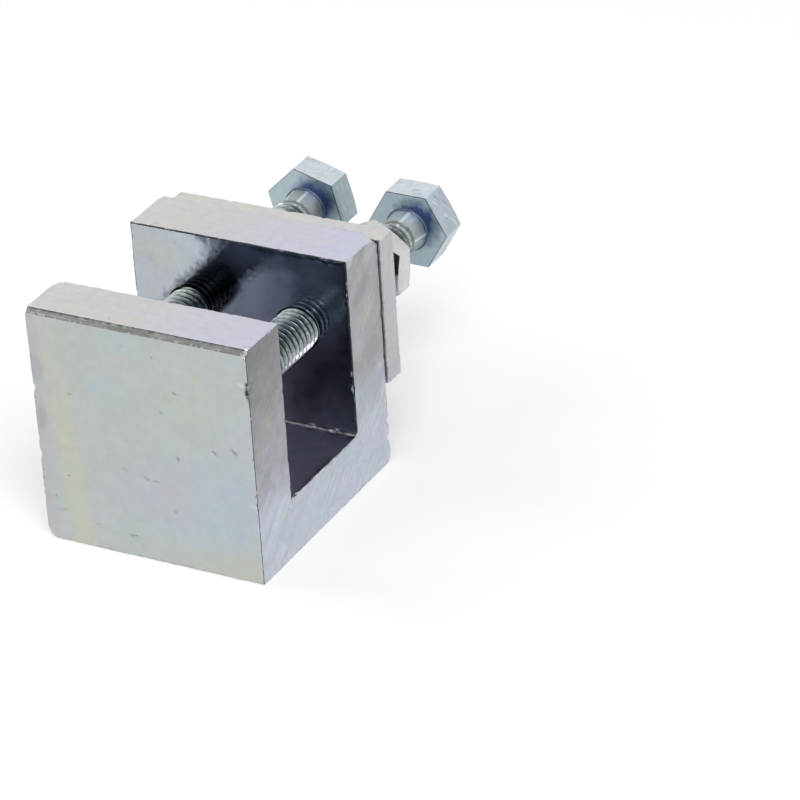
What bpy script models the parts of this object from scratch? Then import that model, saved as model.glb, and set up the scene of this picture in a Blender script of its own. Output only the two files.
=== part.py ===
"""Screw-type earthing clamp: a steel U block, a conductor plate, two set screws and their nuts.

Units are metres. +X is to the right, +Y runs from the front jaw to the screw heads, +Z is up.
The origin is the centre of the block's underside.
"""
import math

import bmesh
import bpy
from mathutils import Vector

MM = 0.001

# Block: a U seen from the side, open upwards and through both ends
BODY_WIDTH = 31.4 * MM
BODY_HEIGHT = 32.7 * MM
JAW_THICKNESS = 8.1 * MM
SLOT_WIDTH = 17.3 * MM
WALL_THICKNESS = 8.3 * MM
FLOOR_THICKNESS = 7.9 * MM
JAW_CHAMFER = 0.75 * MM
BODY_EDGE = 0.22 * MM
CORNER_CHIP = (2.2 * MM, 3.1 * MM, 1.3 * MM)

# Plate that clamps the conductor against the back of the wall
PLATE_WIDTH = 31.2 * MM
PLATE_THICKNESS = 3.3 * MM
PLATE_HEIGHT = 20.7 * MM
PLATE_SIDE_SHIFT = 0.4 * MM
PLATE_DROP = 0.9 * MM
PLATE_EDGE = 0.22 * MM
PLATE_CORNER_RADIUS = 0.35 * MM

# Set screws, threaded along the whole shank
SCREW_DIAMETER = 6.0 * MM
THREAD_PITCH = 1.0 * MM
THREAD_DEPTH = 0.58 * MM
SCREW_LENGTH = 40.0 * MM
SCREW_SPACING = 15.7 * MM
SCREW_AXIS_HEIGHT = 21.7 * MM
POINT_CHAMFER = 0.9 * MM
POINT_ANGLE = math.radians(42.0)
NECK_LENGTH = 3.8 * MM
NECK_ROOT_DIAMETER = 5.8 * MM
NECK_END_DIAMETER = 4.85 * MM
NECK_RUNOUT = 0.7 * MM
NECK_FILLET = 0.25 * MM
HEAD_ACROSS_FLATS = 10.0 * MM
HEAD_THICKNESS = 4.4 * MM
LEFT_POINT_GAP = 8.3 * MM
RIGHT_POINT_GAP = 7.7 * MM
LEFT_HEAD_TURN = math.radians(-15.8)
RIGHT_HEAD_TURN = math.radians(-0.6)

# Thin nuts behind the plate
NUT_ACROSS_FLATS = 10.0 * MM
NUT_THICKNESS = 3.5 * MM
RIGHT_NUT_GAP = 6.4 * MM
LEFT_NUT_TURN = math.radians(8.0)
RIGHT_NUT_TURN = math.radians(26.1)

# Chamfers that turning leaves on the hexagons, and countersinks of the threaded holes
HEX_CHAMFER_ANGLE = math.radians(25.0)
CHAMFER_CIRCLE_SHARE = 0.96
HOLE_COUNTERSINK = 0.35 * MM
PLATE_COUNTERSINK = 0.15 * MM

# Clearances
SEAT_GAP = 0.3 * MM
SCREW_CLEARANCE = 0.25 * MM
CUT_OVERRUN = 1.0 * MM
CHIP_OVERREACH = 4.0
WELD_DISTANCE = 0.0001 * MM

# Facets round a full turn
ROUND_SIDES = 64
THREAD_SIDES = 24
EDGE_SEGMENTS = 2
CORNER_SEGMENTS = 4
FILLET_STEPS = 4

# Places that follow from the sizes above
BODY_DEPTH = JAW_THICKNESS + SLOT_WIDTH + WALL_THICKNESS
FRONT_Y = -BODY_DEPTH / 2
JAW_INNER_Y = FRONT_Y + JAW_THICKNESS
WALL_INNER_Y = JAW_INNER_Y + SLOT_WIDTH
BACK_Y = WALL_INNER_Y + WALL_THICKNESS
PLATE_FRONT_Y = BACK_Y + SEAT_GAP
PLATE_BACK_Y = PLATE_FRONT_Y + PLATE_THICKNESS
PLATE_TOP_Z = BODY_HEIGHT - PLATE_DROP
LEFT_SCREW_X = -SCREW_SPACING / 2
RIGHT_SCREW_X = SCREW_SPACING / 2
SCREW_RADIUS = SCREW_DIAMETER / 2
HOLE_RADIUS = SCREW_RADIUS + SCREW_CLEARANCE

STEEL_COLOUR = (0.62, 0.61, 0.60)
ZINC_PLATE_COLOUR = (0.66, 0.66, 0.63)
SCREW_COLOUR = (0.56, 0.60, 0.62)
NUT_COLOUR = (0.60, 0.63, 0.64)


def clear_scene():
    """Remove the objects that the scene starts with."""
    for item in list(bpy.data.objects):
        bpy.data.objects.remove(item, do_unlink=True)


def make_material(name, colour, roughness):
    """A plain metal with the piece's colour and polish."""
    material = bpy.data.materials.new(name)
    material.use_nodes = True
    shader = material.node_tree.nodes["Principled BSDF"]
    shader.inputs["Base Color"].default_value = (*colour, 1.0)
    shader.inputs["Roughness"].default_value = roughness
    shader.inputs["Metallic"].default_value = 1.0
    return material


def add_object(name, shape, material=None):
    """Turn a bmesh into a named object in the scene."""
    bmesh.ops.recalc_face_normals(shape, faces=shape.faces)
    mesh = bpy.data.meshes.new(name)
    shape.to_mesh(mesh)
    shape.free()
    item = bpy.data.objects.new(name, mesh)
    bpy.context.scene.collection.objects.link(item)
    if material is not None:
        mesh.materials.append(material)
    return item


def shade_round(item):
    """Smooth shading that keeps real edges sharp."""
    item.data.shade_smooth()
    item.data.set_sharp_from_angle(angle=math.radians(30.0))


def extruded(outline, direction):
    """A closed prism: a flat outline of corners pushed along a direction."""
    shape = bmesh.new()
    face = shape.faces.new([shape.verts.new(corner) for corner in outline])
    pushed = bmesh.ops.extrude_face_region(shape, geom=[face])
    corners = [part for part in pushed["geom"] if isinstance(part, bmesh.types.BMVert)]
    bmesh.ops.translate(shape, vec=direction, verts=corners)
    return shape


def turned(profile):
    """A closed solid from (radius, y) points turned round the Y axis."""
    shape = bmesh.new()
    corners = [shape.verts.new((radius, y, 0.0)) for radius, y in profile]
    edges = [shape.edges.new(pair) for pair in zip(corners, corners[1:])]
    bmesh.ops.spin(shape, geom=corners + edges, cent=(0.0, 0.0, 0.0), axis=(0.0, 1.0, 0.0),
                   angle=math.tau, steps=ROUND_SIDES, use_merge=True)
    bmesh.ops.remove_doubles(shape, verts=shape.verts, dist=WELD_DISTANCE)
    return shape


def add_cutter(name, shape, place, owner):
    """A hidden helper solid that stands at a place and belongs to the piece it shapes."""
    cutter = add_object(name, shape)
    cutter.location = place
    cutter.hide_render = True
    cutter.display_type = 'WIRE'
    cutter.parent = owner
    return cutter


def add_boolean(item, cutter, operation):
    """Shape an item with a helper solid."""
    modifier = item.modifiers.new(cutter.name, 'BOOLEAN')
    modifier.object = cutter
    modifier.operation = operation
    modifier.solver = 'EXACT'


def add_edge_round(item, width, segments):
    """Break every sharp edge of an item, as tumbling and plating leave it."""
    modifier = item.modifiers.new("edge_round", 'BEVEL')
    modifier.width = width
    modifier.segments = segments
    modifier.limit_method = 'ANGLE'
    modifier.angle_limit = math.radians(40.0)


def hole_shape(y_low, y_high, radius, countersink):
    """A straight hole from face to face with a countersink of 45 degrees at each mouth."""
    wide = radius + countersink + CUT_OVERRUN
    return turned([
        (0.0, y_low - CUT_OVERRUN),
        (wide, y_low - CUT_OVERRUN),
        (radius, y_low + countersink),
        (radius, y_high - countersink),
        (wide, y_high + CUT_OVERRUN),
        (0.0, y_high + CUT_OVERRUN),
    ])


def drill_screw_holes(item, y_low, y_high, countersink):
    """Cut both screw holes through a piece, in line with the screws."""
    for side, x in (("left", LEFT_SCREW_X), ("right", RIGHT_SCREW_X)):
        shape = hole_shape(y_low, y_high, HOLE_RADIUS, countersink)
        name = f"{item.name}_{side}_hole_cutter"
        offset = (x - item.location.x, -item.location.y, SCREW_AXIS_HEIGHT - item.location.z)
        add_boolean(item, add_cutter(name, shape, offset, item), 'DIFFERENCE')


def block_outline():
    """The U's side view, with the chamfer along the jaw's front top edge."""
    x = -BODY_WIDTH / 2
    side_view = [
        (FRONT_Y, 0.0),
        (BACK_Y, 0.0),
        (BACK_Y, BODY_HEIGHT),
        (WALL_INNER_Y, BODY_HEIGHT),
        (WALL_INNER_Y, FLOOR_THICKNESS),
        (JAW_INNER_Y, FLOOR_THICKNESS),
        (JAW_INNER_Y, BODY_HEIGHT),
        (FRONT_Y + JAW_CHAMFER, BODY_HEIGHT),
        (FRONT_Y, BODY_HEIGHT - JAW_CHAMFER),
    ]
    return [(x, y, z) for y, z in side_view]


def chip_shape():
    """What a knock took off the wall's rear right top corner: all that lies beyond a slanting plane."""
    corner = Vector((BODY_WIDTH / 2, BACK_Y, BODY_HEIGHT))
    along_x, along_y, along_z = CORNER_CHIP
    ends = [corner - Vector(step) for step in ((along_x, 0.0, 0.0), (0.0, along_y, 0.0), (0.0, 0.0, along_z))]
    middle = sum(ends, Vector()) / 3
    outward = (corner - middle).normalized()
    shape = bmesh.new()
    base = [shape.verts.new(middle + (end - middle) * CHIP_OVERREACH) for end in ends]
    tip = shape.verts.new(middle + outward * CHIP_OVERREACH * max(CORNER_CHIP))
    shape.faces.new(base)
    for first, second in zip(base, base[1:] + base[:1]):
        shape.faces.new((first, second, tip))
    return shape


def make_body():
    """The U block: front jaw, floor and a rear wall with two threaded holes."""
    shape = extruded(block_outline(), (BODY_WIDTH, 0.0, 0.0))
    body = add_object("u_body", shape, make_material("plated_block", ZINC_PLATE_COLOUR, 0.34))
    add_edge_round(body, BODY_EDGE, EDGE_SEGMENTS)
    add_boolean(body, add_cutter("u_body_corner_chip", chip_shape(), (0.0, 0.0, 0.0), body), 'DIFFERENCE')
    drill_screw_holes(body, WALL_INNER_Y, BACK_Y, HOLE_COUNTERSINK)
    shade_round(body)
    return body


def plate_outline():
    """The plate's front view: a rectangle with slightly rounded corners."""
    half_width = PLATE_WIDTH / 2
    centres = [
        (half_width - PLATE_CORNER_RADIUS, PLATE_HEIGHT - PLATE_CORNER_RADIUS, 0.0),
        (-half_width + PLATE_CORNER_RADIUS, PLATE_HEIGHT - PLATE_CORNER_RADIUS, 90.0),
        (-half_width + PLATE_CORNER_RADIUS, PLATE_CORNER_RADIUS, 180.0),
        (half_width - PLATE_CORNER_RADIUS, PLATE_CORNER_RADIUS, 270.0),
    ]
    outline = []
    for x, z, start in centres:
        for step in range(CORNER_SEGMENTS + 1):
            angle = math.radians(start + 90.0 * step / CORNER_SEGMENTS)
            outline.append((x + PLATE_CORNER_RADIUS * math.cos(angle), 0.0,
                            z + PLATE_CORNER_RADIUS * math.sin(angle)))
    return outline


def make_plate():
    """The rear plate, a little lower than the block and slightly to its right."""
    shape = extruded(plate_outline(), (0.0, PLATE_THICKNESS, 0.0))
    plate = add_object("clamp_plate", shape, make_material("plated_plate", STEEL_COLOUR, 0.32))
    plate.location = (PLATE_SIDE_SHIFT, PLATE_FRONT_Y, PLATE_TOP_Z - PLATE_HEIGHT)
    add_edge_round(plate, PLATE_EDGE, EDGE_SEGMENTS)
    drill_screw_holes(plate, PLATE_FRONT_Y, PLATE_BACK_Y, PLATE_COUNTERSINK)
    shade_round(plate)
    return plate


def hexagon_prism(across_flats, start, end):
    """A hexagonal bar along Y, with one corner on +X."""
    radius = across_flats / math.sqrt(3.0)
    corners = []
    for index in range(6):
        angle = index * math.tau / 6
        corners.append((radius * math.cos(angle), start, radius * math.sin(angle)))
    return extruded(corners, (0.0, end - start, 0.0))


def chamfer_envelope(across_flats, length, both_ends):
    """The turned shape that gives a hexagonal bar its length and takes the corners off its ends."""
    inner = across_flats / 2 * CHAMFER_CIRCLE_SHARE
    outer = across_flats / math.sqrt(3.0) + CUT_OVERRUN
    drop = (outer - inner) * math.tan(HEX_CHAMFER_ANGLE)
    front = [(inner, 0.0), (outer, drop)] if both_ends else [(outer, -CUT_OVERRUN)]
    start = 0.0 if both_ends else -CUT_OVERRUN
    return turned([(0.0, start), *front, (outer, length - drop), (inner, length), (0.0, length)])


def thread_radius(y, angle):
    """The V thread's radius: crests where a right-hand helix passes, roots half a pitch between them."""
    turns = y / THREAD_PITCH + angle / math.tau
    from_root = abs(turns % 1.0 - 0.5) * 2.0
    return SCREW_RADIUS - THREAD_DEPTH * (1.0 - from_root)


def turned_radius(y):
    """The turned outline inside which the thread stays: the point's chamfer and the run-out at the neck."""
    at_point = SCREW_RADIUS + (y - POINT_CHAMFER) * math.tan(POINT_ANGLE)
    runout_slope = (SCREW_DIAMETER - NECK_END_DIAMETER) / 2 / NECK_RUNOUT
    at_neck = NECK_END_DIAMETER / 2 + (SCREW_LENGTH - NECK_LENGTH - y) * runout_slope
    return min(SCREW_RADIUS, at_point, at_neck)


def round_angles():
    """Angles once round the screw; the last one closes the circle."""
    return [math.tau * side / THREAD_SIDES for side in range(THREAD_SIDES + 1)]


def screw_point(radius, y, angle):
    """A point at a distance from the screw's axis."""
    return (radius * math.cos(angle), y, radius * math.sin(angle))


def circle_row(radius, y):
    """A level circle round the screw."""
    return [screw_point(radius, y, angle) for angle in round_angles()]


def thread_row(line):
    """One turn along a crest or root line of the helix, held between the point and the neck."""
    row = []
    for angle in round_angles():
        along = (line / 2 - angle / math.tau) * THREAD_PITCH
        y = min(max(along, 0.0), SCREW_LENGTH - NECK_LENGTH)
        row.append(screw_point(min(thread_radius(y, angle), turned_radius(y)), y, angle))
    return row


def thread_rows():
    """Every crest and root line of the thread, from the point to the neck."""
    turns = math.ceil((SCREW_LENGTH - NECK_LENGTH) / THREAD_PITCH) + 1
    return [thread_row(line) for line in range(2 * turns + 1)]


def neck_rows():
    """The conical neck, its fillet under the head and its end inside the head."""
    root = NECK_ROOT_DIAMETER / 2
    rows = [circle_row(root, SCREW_LENGTH - NECK_FILLET)]
    for step in range(1, FILLET_STEPS + 1):
        angle = math.radians(90.0 * step / FILLET_STEPS)
        rows.append(circle_row(root + NECK_FILLET * (1.0 - math.cos(angle)),
                               SCREW_LENGTH - NECK_FILLET + NECK_FILLET * math.sin(angle)))
    rows.append(circle_row(root + NECK_FILLET, SCREW_LENGTH + HEAD_THICKNESS / 2))
    rows.append(circle_row(0.0, SCREW_LENGTH + HEAD_THICKNESS / 2))
    return rows


def shank_shape():
    """The threaded shank from its flat point at y = 0 to inside the head, closed at both ends."""
    shape = bmesh.new()
    rows = [circle_row(0.0, 0.0), *thread_rows(), *neck_rows()]
    grid = [[shape.verts.new(point) for point in row] for row in rows]
    for lower, upper in zip(grid, grid[1:]):
        for side in range(THREAD_SIDES):
            shape.faces.new((lower[side], lower[side + 1], upper[side + 1], upper[side]))
    bmesh.ops.remove_doubles(shape, verts=shape.verts, dist=WELD_DISTANCE)
    bmesh.ops.dissolve_degenerate(shape, edges=shape.edges, dist=WELD_DISTANCE)
    bmesh.ops.triangulate(shape, faces=shape.faces)
    return shape


def make_screw(name, x, point_gap, head_turn):
    """A hexagon-head set screw, with its origin on its axis at the tip of the point."""
    head = hexagon_prism(HEAD_ACROSS_FLATS, 0.0, HEAD_THICKNESS + CUT_OVERRUN)
    bmesh.ops.translate(head, vec=(0.0, SCREW_LENGTH, 0.0), verts=head.verts)
    screw = add_object(name, head, make_material(f"{name}_steel", SCREW_COLOUR, 0.28))
    screw.location = (x, JAW_INNER_Y + point_gap, SCREW_AXIS_HEIGHT)
    screw.rotation_euler.y = -head_turn
    envelope = chamfer_envelope(HEAD_ACROSS_FLATS, HEAD_THICKNESS, both_ends=False)
    chamfer = add_cutter(f"{name}_head_chamfer", envelope, (0.0, SCREW_LENGTH, 0.0), screw)
    add_boolean(screw, chamfer, 'INTERSECT')
    shank = add_cutter(f"{name}_shank", shank_shape(), (0.0, 0.0, 0.0), screw)
    add_boolean(screw, shank, 'UNION')
    shade_round(screw)
    return screw


def make_nut(name, x, y, turn):
    """A thin hexagon nut, with its origin on the screw's axis at its front face."""
    shape = hexagon_prism(NUT_ACROSS_FLATS, -CUT_OVERRUN, NUT_THICKNESS + CUT_OVERRUN)
    nut = add_object(name, shape, make_material(f"{name}_steel", NUT_COLOUR, 0.30))
    nut.location = (x, y, SCREW_AXIS_HEIGHT)
    nut.rotation_euler.y = -turn
    envelope = chamfer_envelope(NUT_ACROSS_FLATS, NUT_THICKNESS, both_ends=True)
    add_boolean(nut, add_cutter(f"{name}_chamfer", envelope, (0.0, 0.0, 0.0), nut), 'INTERSECT')
    thread = hole_shape(0.0, NUT_THICKNESS, HOLE_RADIUS, HOLE_COUNTERSINK)
    add_boolean(nut, add_cutter(f"{name}_thread", thread, (0.0, 0.0, 0.0), nut), 'DIFFERENCE')
    shade_round(nut)
    return nut


def build():
    """Make every piece in its rest position."""
    clear_scene()
    make_body()
    make_plate()
    make_screw("left_screw", LEFT_SCREW_X, LEFT_POINT_GAP, LEFT_HEAD_TURN)
    make_screw("right_screw", RIGHT_SCREW_X, RIGHT_POINT_GAP, RIGHT_HEAD_TURN)
    make_nut("left_nut", LEFT_SCREW_X, PLATE_BACK_Y + SEAT_GAP, LEFT_NUT_TURN)
    make_nut("right_nut", RIGHT_SCREW_X, PLATE_BACK_Y + RIGHT_NUT_GAP, RIGHT_NUT_TURN)


build()
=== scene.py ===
"""The looks of a screw-type earthing clamp: zinc-plated steel block, plate, screws and nuts.

Units are metres, in the frame's own axes: +X right, +Y from the front jaw to the screw heads, +Z up.
"""

import math
from functools import cached_property
from types import SimpleNamespace

import bmesh
import bpy
from mathutils import Matrix, Vector, noise


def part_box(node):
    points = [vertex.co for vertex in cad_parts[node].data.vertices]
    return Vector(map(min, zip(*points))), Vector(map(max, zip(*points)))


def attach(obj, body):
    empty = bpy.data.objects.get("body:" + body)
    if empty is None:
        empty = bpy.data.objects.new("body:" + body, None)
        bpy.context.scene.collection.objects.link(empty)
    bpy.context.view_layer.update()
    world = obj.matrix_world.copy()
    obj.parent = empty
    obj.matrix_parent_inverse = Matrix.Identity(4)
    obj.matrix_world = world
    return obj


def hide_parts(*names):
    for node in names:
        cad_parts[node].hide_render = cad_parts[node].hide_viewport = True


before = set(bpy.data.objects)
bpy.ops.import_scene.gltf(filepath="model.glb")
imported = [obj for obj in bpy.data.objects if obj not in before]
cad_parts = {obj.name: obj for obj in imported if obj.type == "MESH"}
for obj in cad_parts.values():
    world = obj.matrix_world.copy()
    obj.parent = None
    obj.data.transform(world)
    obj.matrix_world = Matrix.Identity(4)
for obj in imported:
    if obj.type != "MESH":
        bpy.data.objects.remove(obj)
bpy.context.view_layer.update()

MM = 0.001

# Block, as in the frame's solid
JAW_THICKNESS = 8.1 * MM
WALL_THICKNESS = 8.3 * MM
FLOOR_THICKNESS = 7.9 * MM
JAW_CHAMFER = 0.75 * MM
BLOCK_EDGE = 0.17 * MM
BLOCK_GRID = 0.33 * MM
CORNER_CHIP = Vector((2.2, 3.1, 1.3)) * MM
FOOT_CHIP = Vector((0.9, 1.0, 0.9)) * MM

# Wear of the block's and the plate's faces and edges
RIM_WIDTH = 0.9 * MM
FACE_WAVE_DEPTH = 0.025 * MM
FACE_WAVE_LENGTH = 4.0 * MM
EDGE_WAVE_DEPTH = 0.05 * MM
EDGE_WAVE_LENGTH = 3.0 * MM
NICK_DEPTH = 0.22 * MM
NICK_LENGTH = 0.8 * MM
NICK_THRESHOLD = 0.12
NICK_SHIFT = Vector((5.2, 1.3, 8.4))
CHIP_LUMP_DEPTH = 0.12 * MM
CHIP_LUMP_LENGTH = 0.7 * MM
CHIP_BORDER = 0.2 * MM
CHIP_SHARE = 0.92

# Plate
PLATE_EDGE = 0.2 * MM
PLATE_CORNER_RADIUS = 0.35 * MM
PLATE_GRID = 0.4 * MM
PLATE_HOLE_RADIUS = 3.25 * MM

# Screws and nuts
SCREW_SPACING = 15.7 * MM
SCREW_AXIS_HEIGHT = 21.7 * MM
SCREW_LENGTH = 40.0 * MM
THREAD_CREST_RADIUS = 2.98 * MM
THREAD_ROOT_RADIUS = 2.40 * MM
THREAD_PITCH = 1.0 * MM
THREAD_SAMPLES = 12
CREST_SHARE = 0.14
ROOT_SHARE = 0.16
TIP_CHAMFER = 0.9 * MM
TIP_RADIUS = 2.19 * MM
NECK_LENGTH = 3.8 * MM
NECK_ROOT_RADIUS = 2.9 * MM
NECK_END_RADIUS = 2.42 * MM
NECK_FILLET = 0.25 * MM
NECK_ROWS = 8
SEAM_HEIGHT = 0.10 * MM
SEAM_WIDTH = math.radians(4.5)
RUNOUT_LENGTH = 0.8 * MM
BORE_RADIUS = 3.06 * MM
BORE_COUNTERSINK = 0.14 * MM
HEAD_ACROSS_FLATS = 10.15 * MM
HEAD_THICKNESS = 4.45 * MM
HEAD_EDGE = 0.13 * MM
HEAD_CHAMFER_ANGLE = math.radians(14.0)
NUT_ACROSS_FLATS = 10.0 * MM
NUT_THICKNESS = 3.5 * MM
NUT_CHAMFER_ANGLE = math.radians(25.0)
CHAMFER_CIRCLE_SHARE = 0.97
LEFT_HEAD_TURN = math.radians(-15.8)
RIGHT_HEAD_TURN = math.radians(-0.6)
LEFT_NUT_TURN = math.radians(8.0)
RIGHT_NUT_TURN = math.radians(26.1)
TURN_SIDES = 72
SHARP_EDGE_ANGLE = math.radians(40.0)
HEXAGON_EDGE_ANGLE = math.radians(9.0)
CUT_OVERRUN = 1.0 * MM
WELD_DISTANCE = 0.0001 * MM

# Camera that took the photograph, found from the clamp's corners
IMAGE_SIZE = 800
SENSOR_WIDTH = 36.0
CAMERA_PLACE = Vector((242.9, -384.2, 261.5)) * MM
CAMERA_AZIMUTH = math.radians(29.69)
CAMERA_ELEVATION = math.radians(29.10)
CAMERA_ROLL = math.radians(3.787)
FOCAL_PIXELS = 4079.7
CENTRE_X_PIXEL = 379.3
CENTRE_Y_PIXEL = 427.4

# Studio
FLOOR_SIZE = 6.0
FLOOR_COLOUR = (0.80, 0.80, 0.80)
FLOOR_GLOW = 0.18
WORLD_LEVEL = 0.62
LAMP_TARGET = Vector((0.0, 0.0, 0.02))
# Name, place, size and power in watts
LAMPS = (
    ("key_lamp", (0.60, -0.70, 1.20), 0.8, 11.0),
    ("fill_lamp", (-1.0, -0.1, 0.9), 0.7, 3.0),
)

# The block's looks, in the order of its material slots
FRONT, TOP, SIDE, INNER_WALL, INNER_JAW, SLOT_FLOOR, HIDDEN, EDGE, CHAMFER = range(9)
# The screw's looks
THREAD, NECK, UNDER_HEAD, HEAD_FACET, HEAD_END, HEAD_RIM = range(6)

# Places for the looks, in millimetres
FRONT_FACE = -16.85
RIGHT_SIDE = 15.7
WALL_FACE = 8.55
# Heights where the painted black shade on the nut's face towards the plate starts and becomes full
NUT_SHADE_STARTS = 21.2
NUT_SHADE_FULL = 22.0
# Places along Y where the painted black shade on the thread's back flanks starts and becomes full
DARK_THREAD_STARTS = 9.2
DARK_THREAD_FULL = 8.4

RIGHT = (1.0, 0.0, 0.0)
BACK = (0.0, 1.0, 0.0)
UP = (0.0, 0.0, 1.0)


def block_places():
    """The block's faces along Y and its size, read from the frame."""
    low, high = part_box("u_body")
    return SimpleNamespace(
        left=low.x, right=high.x, front=low.y, back=high.y, top=high.z, floor=FLOOR_THICKNESS,
        jaw_inner=low.y + JAW_THICKNESS, wall_inner=high.y - WALL_THICKNESS)


def placed(name, data):
    """A new object in the scene."""
    item = bpy.data.objects.new(name, data)
    bpy.context.scene.collection.objects.link(item)
    return item


def finish_mesh(name, shape):
    """Turn a bmesh into a named object in the scene."""
    bmesh.ops.recalc_face_normals(shape, faces=shape.faces)
    mesh = bpy.data.meshes.new(name)
    shape.to_mesh(mesh)
    shape.free()
    return placed(name, mesh)


def extruded(outline, direction):
    """A closed prism: a flat outline of corners pushed along a direction."""
    shape = bmesh.new()
    face = shape.faces.new([shape.verts.new(corner) for corner in outline])
    pushed = bmesh.ops.extrude_face_region(shape, geom=[face])
    corners = [part for part in pushed["geom"] if isinstance(part, bmesh.types.BMVert)]
    bmesh.ops.translate(shape, vec=direction, verts=corners)
    bmesh.ops.recalc_face_normals(shape, faces=shape.faces)
    return shape


def turned(profile):
    """A closed solid from (radius, y) points turned round the Y axis."""
    shape = bmesh.new()
    corners = [shape.verts.new((radius, y, 0.0)) for radius, y in profile]
    edges = [shape.edges.new(pair) for pair in zip(corners, corners[1:])]
    bmesh.ops.spin(shape, geom=corners + edges, cent=(0.0, 0.0, 0.0), axis=(0.0, 1.0, 0.0),
                   angle=math.tau, steps=TURN_SIDES, use_merge=True)
    bmesh.ops.remove_doubles(shape, verts=shape.verts, dist=WELD_DISTANCE)
    return shape


def spaced(low, high, step):
    """Places between two ends, about one step apart, without the ends."""
    count = max(1, round((high - low) / step))
    return [low + (high - low) * index / count for index in range(1, count)]


def cut_into_grid(shape, axis, places):
    """Cut a mesh along planes across one axis."""
    normal = [0.0, 0.0, 0.0]
    normal[axis] = 1.0
    for place in places:
        geometry = shape.verts[:] + shape.edges[:] + shape.faces[:]
        bmesh.ops.bisect_plane(shape, geom=geometry, dist=WELD_DISTANCE,
                               plane_co=[place] * 3, plane_no=normal)


def round_sharp_edges(shape, width):
    """Round every sharp edge."""
    sharp = [edge for edge in shape.edges
             if edge.is_manifold and edge.calc_face_angle() > SHARP_EDGE_ANGLE]
    bmesh.ops.bevel(shape, geom=sharp, offset=width, segments=3, profile=0.5,
                    affect='EDGES', clamp_overlap=True)


def apply_modifiers(item):
    """Replace an object's mesh with what its modifiers make, without double or empty faces."""
    graph = bpy.context.evaluated_depsgraph_get()
    made = bpy.data.meshes.new_from_object(item.evaluated_get(graph))
    made.validate()
    item.modifiers.clear()
    item.data = made


def combine(item, other, operation):
    """Cut, join or intersect an object with another, which is used up."""
    modifier = item.modifiers.new("combine", 'BOOLEAN')
    modifier.object = other
    modifier.operation = operation
    modifier.solver = 'EXACT'
    apply_modifiers(item)
    bpy.data.objects.remove(other, do_unlink=True)


def bore(y_low, y_high, radius):
    """A cutter for a straight hole with a countersink at each mouth, round the Y axis."""
    wide = radius + BORE_COUNTERSINK + CUT_OVERRUN
    return turned([
        (0.0, y_low - CUT_OVERRUN), (wide, y_low - CUT_OVERRUN), (radius, y_low + BORE_COUNTERSINK),
        (radius, y_high - BORE_COUNTERSINK), (wide, y_high + CUT_OVERRUN), (0.0, y_high + CUT_OVERRUN)])


def drill(item, y_low, y_high, radius):
    """Drill both screw holes through a piece."""
    for side in (-1, 1):
        cutter = finish_mesh("cutter", bore(y_low, y_high, radius))
        cutter.location = (side * SCREW_SPACING / 2, 0.0, SCREW_AXIS_HEIGHT)
        bpy.context.view_layer.update()
        combine(item, cutter, 'DIFFERENCE')


def shade_round(item, angle):
    """Smooth shading that keeps real edges sharp."""
    item.data.shade_smooth()
    item.data.set_sharp_from_angle(angle=math.radians(angle))


def make_block():
    """The U block with rounded edges and enough points for its dents and nicks."""
    at = block_places()
    side_view = [
        (at.front, 0.0), (at.back, 0.0), (at.back, at.top), (at.wall_inner, at.top),
        (at.wall_inner, at.floor), (at.jaw_inner, at.floor), (at.jaw_inner, at.top),
        (at.front + JAW_CHAMFER, at.top), (at.front, at.top - JAW_CHAMFER)]
    shape = extruded([(at.left, y, z) for y, z in side_view], (at.right - at.left, 0.0, 0.0))
    cut_into_grid(shape, 0, spaced(at.left, at.right, BLOCK_GRID))
    faces = (at.front, at.jaw_inner, at.wall_inner, at.back)
    y_stops = []
    for low, high in zip(faces, faces[1:]):
        y_stops += spaced(low, high, BLOCK_GRID) + [high]
    y_stops.remove(at.back)
    clear_of_chamfer = JAW_CHAMFER + BLOCK_EDGE
    cut_into_grid(shape, 1, [y for y in y_stops if y > at.front + clear_of_chamfer])
    cut_into_grid(shape, 2, spaced(0.0, at.floor, BLOCK_GRID) + [at.floor])
    z_stops = spaced(at.floor, at.top, BLOCK_GRID)
    cut_into_grid(shape, 2, [z for z in z_stops if z < at.top - clear_of_chamfer])
    round_sharp_edges(shape, BLOCK_EDGE)
    block = finish_mesh("block_body", shape)
    drill(block, at.wall_inner, at.back, BORE_RADIUS)
    return block


def make_plate():
    """The rear plate: a sawn rectangle with slightly rounded corners and two clearance holes."""
    low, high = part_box("clamp_plate")
    radius = PLATE_CORNER_RADIUS
    left, right, foot, top = low.x + radius, high.x - radius, low.z + radius, high.z - radius
    outline = []
    for x, z, start in ((right, top, 0.0), (left, top, 90.0), (left, foot, 180.0), (right, foot, 270.0)):
        for step in range(5):
            angle = math.radians(start + 22.5 * step)
            outline.append((x + radius * math.cos(angle), low.y, z + radius * math.sin(angle)))
    shape = extruded(outline, (0.0, high.y - low.y, 0.0))
    cut_into_grid(shape, 0, spaced(left, right, PLATE_GRID))
    cut_into_grid(shape, 2, spaced(foot, top, PLATE_GRID))
    cut_into_grid(shape, 1, spaced(low.y, high.y, PLATE_GRID))
    round_sharp_edges(shape, PLATE_EDGE)
    plate = finish_mesh("plate_body", shape)
    drill(plate, low.y, high.y, PLATE_HOLE_RADIUS)
    return plate


def thread_height(place):
    """How far up the thread's flank a place within one pitch is: 1 on the crest, 0 in the root."""
    away = abs((place % 1.0) - 0.5) * 2.0
    rise = (away - ROOT_SHARE) / (1.0 - CREST_SHARE - ROOT_SHARE)
    return min(1.0, max(0.0, rise))


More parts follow.
